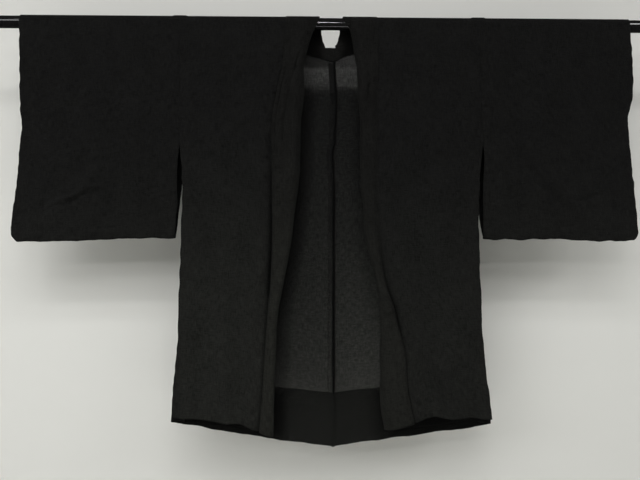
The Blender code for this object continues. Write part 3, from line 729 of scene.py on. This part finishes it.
def cloth(name, points, wall, finishes, closed=False, rungs=(), second_from=None, painted_masks=None):
    """A piece of cloth over a grid of points, given its wall by Solidify. A closed grid joins its last row
    to its first, and rungs sew pairs of rows together along the last column. Its UV map measures the cloth
    in metres, across by the length of the rows and along by the length of the columns. From the row
    second_from on it takes the second finish. Each point gets two painted shade masks, how much painted
    shade lies on it and how deep a painted shadow darkens it, which the fronts decide unless they are
    given, and a lightening of its tone, partly painted light, that the painted shade takes away."""
    rows, columns = points.shape[:2]
    index = np.arange(rows * columns).reshape(rows, columns)
    if closed:
        index = np.concatenate([index, index[:1]])
    faces = quads(index)
    if len(rungs):
        faces = np.concatenate([faces, quads(index[np.array(rungs), -1])])
    mesh = bpy.data.meshes.new(name)
    mesh.from_pydata(points.reshape(-1, 3), [], faces.tolist())
    mesh.shade_smooth()
    u = np.cumsum(np.linalg.norm(np.diff(points, axis=1, prepend=points[:, :1]), axis=-1), axis=1)
    v = np.cumsum(np.linalg.norm(np.diff(points, axis=0, prepend=points[:1]), axis=-1).mean(axis=1))
    lies = joined(u, v[:, None]).reshape(-1, 2)
    layer = mesh.uv_layers.new(name="cloth")
    layer.data.foreach_set("uv", lies[faces.ravel()].astype(np.float32).ravel())
    painted_shade, painted_shadow = painted_shade_masks(points) if painted_masks is None else painted_masks
    # The lightening, partly painted light, is taken away where painted shade lies.
    lightening = lightening_of(points) * (1 - painted_shade)
    for label, values in (("lightening", lightening), ("painted_shade", painted_shade), ("painted_shadow", painted_shadow)):
        held = mesh.attributes.new(label, "FLOAT", "POINT")
        held.data.foreach_set("value", values.astype(np.float32).ravel())
    for finish in finishes:
        mesh.materials.append(finish)
    if second_from is not None:
        which = np.zeros(len(faces), np.int32)
        which[second_from * (columns - 1):] = 1
        mesh.polygons.foreach_set("material_index", which)
    piece = put(name, mesh)
    solid = piece.modifiers.new("Wall", "SOLIDIFY")
    solid.thickness = wall
    solid.offset = 0
    return piece


def rod_tube(finish):
    """The rod: an outline, a radius at each place along X, turned once round the axis. Each rim is eased by
    a quarter round, and the ends are flat."""
    turn = np.linspace(0, math.pi / 2, 5)
    end = ROD_HALF_LENGTH - ROD_EASE + ROD_EASE * np.sin(turn)
    rim = ROD_RADIUS - ROD_EASE + ROD_EASE * np.cos(turn)
    along_x = np.concatenate([-end[::-1], end])[:, None]
    radius = np.concatenate([rim[::-1], rim])[:, None]
    angle = np.arange(ROD_SIDES) * 2 * math.pi / ROD_SIDES
    points = joined(along_x, radius * np.cos(angle), radius * np.sin(angle))
    ring = np.arange(points.shape[0] * ROD_SIDES).reshape(-1, ROD_SIDES)
    sides = quads(np.concatenate([ring, ring[:, :1]], axis=1))
    mesh = bpy.data.meshes.new("hanging_rod")
    ends = [ring[0, ::-1].tolist(), ring[-1].tolist()]
    mesh.from_pydata(points.reshape(-1, 3), [], sides.tolist() + ends)
    mesh.polygons.foreach_set("use_smooth", np.arange(len(sides) + 2) < len(sides))
    mesh.materials.append(finish)
    return put("hanging_rod", mesh)


# ---- Finishes ----

def feed(tree, made, inputs):
    """Sets a node's inputs to values, or links other nodes' outputs to them."""
    for key, value in inputs.items():
        if isinstance(value, bpy.types.NodeSocket):
            tree.links.new(value, made.inputs[key])
        else:
            made.inputs[key].default_value = value


def node(tree, kind, at, inputs=None, **settings):
    """A node at a place in its tree, with its settings made and its inputs fed."""
    made = tree.nodes.new(kind)
    made.location = at
    for key, value in settings.items():
        setattr(made, key, value)
    feed(tree, made, inputs or {})
    return made


def math_node(tree, at, operation, *operands, clamp=False):
    """The output of a Math node; each operand is a number or another node's output."""
    inputs = dict(enumerate(operands))
    return node(tree, "ShaderNodeMath", at, inputs, operation=operation, use_clamp=clamp).outputs[0]


def added(tree, at, value, share, rest, clamp=False):
    """A value times a share, plus the rest."""
    return math_node(tree, at, "MULTIPLY_ADD", value, share, rest, clamp=clamp)


def noise(tree, at, vector, scale, detail=2, stretch=(1, 1, 1), turn=0, distortion=0):
    """Noise over a piece's own measure: its features are about 1 / scale metres, longer where stretched."""
    mapping = node(tree, "ShaderNodeMapping", (at[0] - 180, at[1]), {
        "Vector": vector, "Scale": tuple(1 / s for s in stretch), "Rotation": (0, 0, turn)})
    made = node(tree, "ShaderNodeTexNoise", at, {
        "Vector": mapping.outputs[0], "Scale": scale, "Detail": detail, "Distortion": distortion})
    return made.outputs["Fac"]


def ramp(tree, at, share, dark, light):
    """A colour that runs from dark to light with a share."""
    made = node(tree, "ShaderNodeValToRGB", at, {0: share})
    for element, colour in zip(made.color_ramp.elements, (dark, light)):
        element.color = (*colour, 1)
    return made.outputs[0]


def trait(tree, at, name):
    """A point attribute of the cloth, from 0 to 1."""
    return node(tree, "ShaderNodeAttribute", at, attribute_name=name).outputs["Fac"]


def new_finish(name):
    """A material, with its tree and its shader."""
    finish = bpy.data.materials.new(name)
    finish.use_nodes = True
    return finish, finish.node_tree, finish.node_tree.nodes["Principled BSDF"]


def times(colour, factors):
    """A colour whose parts are each multiplied by a factor."""
    return tuple(part * factor for part, factor in zip(colour, factors))


def crepe_group():
    """Crepe: pebbled by its hard-twisted weft, with fine streaks both ways where yarns run thick or thin,
    soft cloudy patches where it has been handled, and thread crossings that show only close by.
    Height is the relief, Tone how light the cloth lies, and Open how far its threads stand apart."""
    tree = bpy.data.node_groups.new("crepe weave", "ShaderNodeTree")
    for name in ("Cloth", "Thread", "Pebble", "Streak"):
        kind = "NodeSocketVector" if name == "Cloth" else "NodeSocketFloat"
        tree.interface.new_socket(name, in_out="INPUT", socket_type=kind)
    for name in ("Height", "Tone", "Open"):
        tree.interface.new_socket(name, in_out="OUTPUT", socket_type="NodeSocketFloat")
    given = node(tree, "NodeGroupInput", (-1400, 0)).outputs
    at = given["Cloth"]
    pebble = noise(tree, (-800, 300), at, 560, 3, (1, 0.8, 1), 0, 0.4)
    crinkle = noise(tree, (-800, 120), at, 120, 3, (0.7, 1.5, 1), 0.12, 0.8)
    warp = noise(tree, (-800, -60), at, 400, 2, (0.8, 6, 1))
    weft = noise(tree, (-800, -240), at, 360, 2, (5, 0.8, 1))
    cloud = noise(tree, (-800, -420), at, 22, 3, (1, 1.5, 1), 0.3, 0.3)
    split = node(tree, "ShaderNodeSeparateXYZ", (-1100, -640), {0: at}).outputs
    waves = []
    for way, y in zip(split, (-640, -800)):
        turns = math_node(tree, (-880, y), "MULTIPLY", way, 2 * math.pi / THREAD_PITCH)
        waves.append(math_node(tree, (-700, y), "SINE", turns))
    crossing = math_node(tree, (-500, -700), "MULTIPLY", *waves)
    streak = math_node(tree, (-480, -140), "ADD", warp, weft)
    height = math_node(tree, (-200, 240), "MULTIPLY", pebble, given["Pebble"])
    height = added(tree, (0, 240), crinkle, 1.5, height)
    height = added(tree, (200, 240), streak, given["Streak"], height)
    height = added(tree, (400, 240), crossing, given["Thread"], height)
    tone = added(tree, (-380, -60), streak, 1.4, -1.95)
    tone = added(tree, (-200, -60), cloud, 0.6, tone)
    tone = added(tree, (0, -60), crinkle, 0.9, tone)
    tone = added(tree, (200, -60), pebble, 0.6, tone, clamp=True)
    opened = added(tree, (-200, -320), streak, 1.3, -0.98)
    opened = added(tree, (-100, -460), crinkle, 0.16, opened)
    opened = added(tree, (0, -320), pebble, 0.2, opened, clamp=True)
    node(tree, "NodeGroupOutput", (900, 0), {"Height": height, "Tone": tone, "Open": opened})
    return tree


DARK_BLACK, BLACK = (0.0048, 0.0048, 0.0047), (0.0125, 0.0126, 0.0122)
# How much lighter a lightened tone is, in red, green and blue.
LIGHTENED_TINT = (2.0, 2.05, 1.88)
# The painted shadow draws the tone towards this share of the light black, and this is its strongest weight.
PAINTED_SHADOW_TONE, PAINTED_SHADOW_SHARE = 0.14, 0.9
OPEN_THINNING, LIGHTENED_THINNING = 0.17, 0.075


def crepe(name, least_cover=None, dark=DARK_BLACK, light=BLACK, roughness=0.9, pebble=0.9, streak=0.6):
    """A crepe finish. Its tone runs from dark to light with the weave, is made lighter where the cloth's
    lightening asks, partly as painted light, and is drawn towards a near-black by a painted shadow. Where
    least_cover is given, the cloth is a single sheer layer: each of its two faces covers about that share
    of what lies behind, less where its threads stand open or its tone is lightened, and all of it where
    painted shade lies on it."""
    finish, tree, shader = new_finish(name)
    pattern = node(tree, "ShaderNodeGroup", (-700, 0), node_tree=weave, inputs={
        "Cloth": node(tree, "ShaderNodeUVMap", (-900, 0), uv_map="cloth").outputs[0],
        "Thread": 0.1, "Pebble": pebble, "Streak": streak}).outputs
    lightening = trait(tree, (-700, 400), "lightening")
    plain_tone, lighter_tone = (ramp(tree, (-400, y), pattern["Tone"], times(dark, fade), times(light, fade))
                  for y, fade in ((200, (1, 1, 1)), (450, LIGHTENED_TINT)))
    lightened_tone = node(tree, "ShaderNodeMix", (-150, 300), data_type="RGBA", inputs={0: lightening, 6: plain_tone, 7: lighter_tone})
    # Painted shadow: the tone is drawn towards a near-black where the point attribute for it asks.
    painted_shadow = math_node(tree, (-150, 60), "MULTIPLY", trait(tree, (-350, 60), "painted_shadow"), PAINTED_SHADOW_SHARE)
    painted_shadow = node(tree, "ShaderNodeMix", (50, 300), data_type="RGBA", inputs={
        0: painted_shadow, 6: lightened_tone.outputs[2], 7: (*times(light, 3 * [PAINTED_SHADOW_TONE]), 1)})
    bump = node(tree, "ShaderNodeBump", (-400, -200), {
        "Strength": 0.9, "Distance": BUMP_HEIGHT, "Height": pattern["Height"]})
    feed(tree, shader, {
        "Base Color": painted_shadow.outputs[2], "Normal": bump.outputs[0], "Roughness": roughness,
        "Specular IOR Level": 0.04, "Sheen Weight": 0.015, "Sheen Roughness": 0.45})
    if least_cover is not None:
        cover = added(tree, (-500, -480), pattern["Open"], -OPEN_THINNING, least_cover + 0.08)
        cover = added(tree, (-300, -480), lightening, -LIGHTENED_THINNING, cover)
        bare = added(tree, (-100, -640), cover, -1.2, 1.2)
        # Painted shade makes the sheer cloth cover all that lies behind it.
        painted_shade = trait(tree, (-500, -640), "painted_shade")
        cover = added(tree, (-100, -480), painted_shade, bare, cover, clamp=True)
        feed(tree, shader, {"Alpha": cover})
    return finish


def lacquer():
    """Glossy black lacquer on steel tube: long polishing marks and a little dust make its gloss uneven."""
    finish, tree, shader = new_finish("black lacquered steel")
    coordinates = node(tree, "ShaderNodeTexCoord", (-1100, 0)).outputs["Object"]
    marks = noise(tree, (-700, 100), coordinates, 260, 2, (30, 1, 1))
    dust = noise(tree, (-700, -120), coordinates, 90, 3)
    gloss = added(tree, (-450, 100), marks, 0.06, 0.03)
    gloss = added(tree, (-250, 100), dust, 0.05, gloss)
    black = ramp(tree, (-450, -120), dust, (0.0035, 0.0035, 0.0038), (0.009, 0.009, 0.009))
    feed(tree, shader, {"Roughness": gloss, "Base Color": black, "Specular IOR Level": 0.8})
    return finish


# ---- The garment ----

weave = crepe_group()
close_crepe = crepe("black crepe")
sheer_crepe = crepe("sheer black crepe", least_cover=0.71)
collar_crepe = crepe(
    "black collar crepe", dark=(0.005, 0.005, 0.0047), light=(0.0132, 0.0132, 0.0124), roughness=0.88,
    pebble=0.8, streak=0.5)

for side in SIDES:
    panel = cloth(
        "body_" + side, body_panel(side), CLOTH_WALL, [close_crepe, sheer_crepe],
        second_from=PANEL_ROWS + ARC_STEPS)
    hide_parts("body_panel_" + side)
    points, rungs = sleeve(side)
    tube = cloth("sleeve_tube_" + side, points, CLOTH_WALL, [close_crepe], closed=True, rungs=rungs)
    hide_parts("sleeve_" + side)
    points = gusset(side)
    whole = np.ones(points.shape[:2])
    # The gusset lies inside the jacket: painted shade all over it, and a painted shadow of 0.6.
    strip = cloth("side_gusset_" + side, points, CLOTH_WALL, [close_crepe], painted_masks=(whole, 0.6 * whole))
    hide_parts("gusset_" + side)
    points = hem_facing(side)
    painted_shade, painted_shadow = painted_shade_masks(points)
    # Painted shade on the turned-up hem, with a painted shadow of at least 0.28, for the shade under the
    # fronts' hems.
    facing = cloth(
        "facing_" + side, points, CLOTH_WALL, [sheer_crepe], painted_masks=(painted_shade, np.maximum(painted_shadow, 0.28)))
    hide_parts("hem_facing_" + side)
    for piece in (panel, tube, strip, facing):
        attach(piece, "root")

points = collar()
stand = shelters_stand(points)
band = cloth("collar_band", points, COLLAR_WALL, [collar_crepe], painted_masks=(stand, stand))
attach(band, "root")
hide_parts("collar")

allowance_crepe = crepe("sheer black crepe, seam", least_cover=0.17)
points = centre_seam_allowance()
painted_shade, painted_shadow = painted_shade_masks(points)
# Painted shade on the allowance as on the back, and wholly near its top.
allowance = cloth(
    "centre_allowance", points, CLOTH_WALL, [allowance_crepe],
    painted_masks=(np.maximum(painted_shade, rise(points[..., 2], -0.15, 0.012)), painted_shadow))
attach(allowance, "root")
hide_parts("centre_seam_allowance")

rod = rod_tube(lacquer())
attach(rod, "root")
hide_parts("rod")


# ---- Stage, light and camera ----

def stage_plane(name, corners, finish):
    """One flat face through the corners, which isn't part of the garment."""
    mesh = bpy.data.meshes.new(name)
    mesh.from_pydata(corners, [], [tuple(range(len(corners)))])
    mesh.materials.append(finish)
    plane = put(name, mesh)
    return plane


def pale_finish(name, colour):
    """Pale paint on the side that faces the garment, and nothing from behind, so that the garment's back
    can be seen through the wall."""
    finish, tree, shader = new_finish(name)
    feed(tree, shader, {"Base Color": (*colour, 1), "Roughness": 0.9, "Specular IOR Level": 0.2})
    clear = node(tree, "ShaderNodeBsdfTransparent", (0, -300))
    behind = node(tree, "ShaderNodeNewGeometry", (0, 300))
    mixed = node(tree, "ShaderNodeMixShader", (400, 0), {
        0: behind.outputs["Backfacing"], 1: shader.outputs[0], 2: clear.outputs[0]})
    feed(tree, tree.nodes["Material Output"], {"Surface": mixed.outputs[0]})
    return finish


WALL_DEPTH = 0.13
FLOOR_DROP = 1.3
wall = stage_plane("stage_wall", [
    (-2.4, WALL_DEPTH, -FLOOR_DROP), (2.4, WALL_DEPTH, -FLOOR_DROP), (2.4, WALL_DEPTH, 0.9),
    (-2.4, WALL_DEPTH, 0.9)], pale_finish("pale wall", (0.80, 0.80, 0.765)))
wall.visible_shadow = False
wall.visible_glossy = False
floor = stage_plane("stage_floor", [
    (-6, -6, -FLOOR_DROP), (6, -6, -FLOOR_DROP), (6, 6, -FLOOR_DROP), (-6, 6, -FLOOR_DROP)],
    pale_finish("pale floor", (0.64, 0.64, 0.61)))
floor.visible_glossy = False


def area_light(name, at, width, height, power, aim=None, shape="RECTANGLE", mirrored=True):
    """A soft lamp at a place, turned towards another place or else straight down. If it isn't mirrored,
    gloss doesn't show it."""
    aim = aim or (at[0], at[1] - 0.001, -2)
    data = bpy.data.lights.new(name, "AREA")
    data.shape = shape
    data.size, data.size_y = width, height
    data.energy = power
    lamp = put(name, data)
    lamp.location = at
    lamp.rotation_euler = (Vector(aim) - Vector(at)).to_track_quat("-Z", "Y").to_euler()
    lamp.visible_camera = False
    lamp.visible_glossy = mirrored


area_light("ceiling_strip", (0, -0.97, 0.927), 0.6, 0.12, 3.97, mirrored=False)
area_light("high_lamp", (0, -2.4, 2.2), 2.0, 0.2, 15.67, aim=(0, 0.1, -0.3), mirrored=False)
area_light("ceiling_left", (-1.0, -1.4, 0.75), 1.0, 1.2, 16.2)
area_light("ceiling_middle", (0.5, -1.4, 0.75), 2.0, 1.2, 9.4, mirrored=False)
area_light("ceiling_right", (2.0, -1.4, 0.75), 1.0, 1.2, 21.95)
area_light("ceiling_far_left", (-3.0, -2.4, 0.60), 2.5, 1.6, 73.15)
area_light("rod_line", (0, -1.9, 0.342), 0.236, 0.05, 2.0, aim=(0, 0, 0), shape="ELLIPSE")
area_light("rod_glint", (0.033, -0.53, -1.05), 0.20, 0.026, 0.16, aim=(0, 0, 0))
area_light("back_fill", (0.6, 2.4, 0.8), 2.4, 1.8, 40, aim=(0, 0, -0.45))

# The pale studio that is seen round the stage gives only a faint light of its own.
world = bpy.data.worlds.new("pale studio")
bpy.context.scene.world = world
world.use_nodes = True
sky = world.node_tree
seen = sky.nodes["Background"]
feed(sky, seen, {0: (0.80, 0.80, 0.785, 1), 1: 0.85})
lit = node(sky, "ShaderNodeBackground", (0, -200), {0: (0.80, 0.78, 0.74, 1), 1: 0.05})
mixed = node(sky, "ShaderNodeMixShader", (300, 0), {
    0: node(sky, "ShaderNodeLightPath", (-200, 200)).outputs["Is Camera Ray"], 1: lit.outputs[0],
    2: seen.outputs[0]})
feed(sky, sky.nodes["World Output"], {"Surface": mixed.outputs[0]})

# The camera stands level with the garment's middle, a little to its left, and is turned and rolled by a
# hair's breadth.
CAMERA_AIM = Vector((-0.0245, 0.0, -0.459))
CAMERA_DISTANCE = 1.1
YAW, ROLL = math.radians(0.47), math.radians(0.24)
ahead = Vector((math.sin(YAW), math.cos(YAW), 0))
rightwards = Vector((math.cos(YAW), -math.sin(YAW), 0))
upwards = Vector((0, 0, 1))
tilted_right = rightwards * math.cos(ROLL) + upwards * math.sin(ROLL)
tilted_up = upwards * math.cos(ROLL) - rightwards * math.sin(ROLL)
turned = Matrix((tilted_right, tilted_up, -ahead)).transposed().to_4x4()
turned.translation = CAMERA_AIM - ahead * CAMERA_DISTANCE
camera_data = bpy.data.cameras.new("camera")
camera_data.sensor_width = 36
camera_data.lens = 29.08
camera_data.clip_start = 0.01
camera = put("camera", camera_data)
camera.matrix_world = turned
bpy.context.scene.camera = camera
bpy.context.scene.view_settings.view_transform = "Standard"
